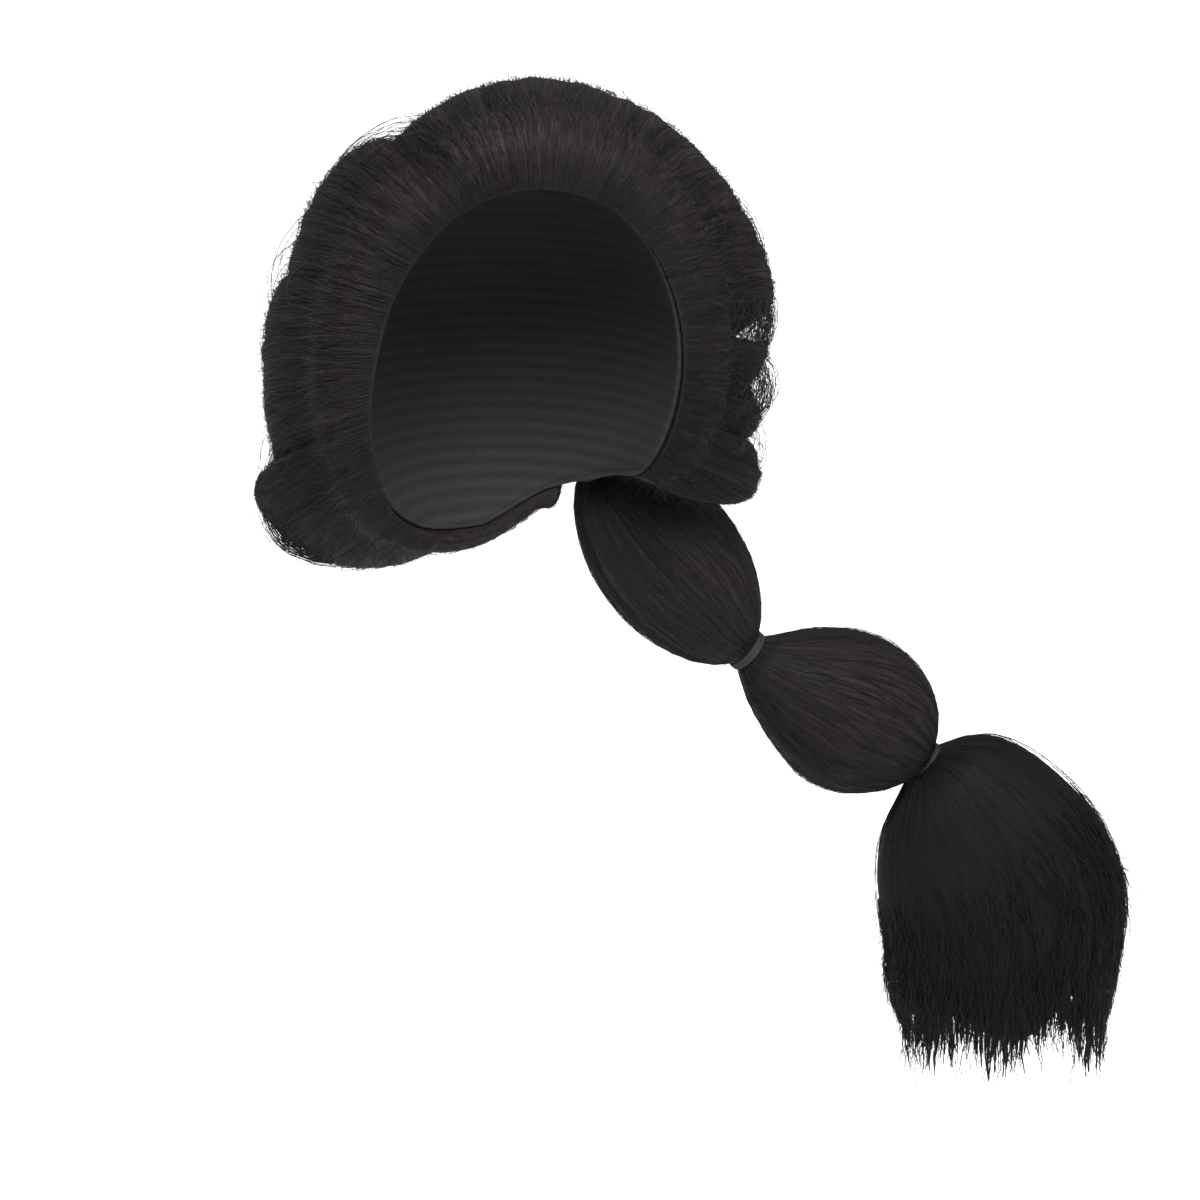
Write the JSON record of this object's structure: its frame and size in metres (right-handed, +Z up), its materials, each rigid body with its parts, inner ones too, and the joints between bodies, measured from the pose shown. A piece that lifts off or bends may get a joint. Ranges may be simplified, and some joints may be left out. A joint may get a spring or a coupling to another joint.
{
  "type": "long wig",
  "caption": "Long black wig: hair swept off the face in puffed rolls, gathered low at one side, hanging as a tail banded into bubbles with a loose frayed brush end.",
  "frame": {"origin": "inside of the cap's crown, where the top of the head sits", "axes": "+Z up, the wearer faces -Y, and the wearer's left, where the tail hangs, is +X"},
  "size_m": [0.4773, 0.1793, 0.5597],
  "materials": {
    "hair": "soft dull gloss, black synthetic hair",
    "cap_cloth": "matt black net cloth",
    "band": "matt black elastic"
  },
  "bodies": {
    "root": {"cap": "cap_cloth", "front_roll": "hair", "right_upper_roll": "hair", "right_middle_roll": "hair", "right_lower_puff": "hair", "left_upper_roll": "hair", "left_middle_roll": "hair", "left_lower_roll": "hair", "nape_roll": "hair", "tail_upper_bubble": "hair", "tail_lower_bubble": "hair", "tail_brush": "hair", "nape_tie": "band", "upper_tie": "band", "lower_tie": "band"}
  },
  "joints": []
}
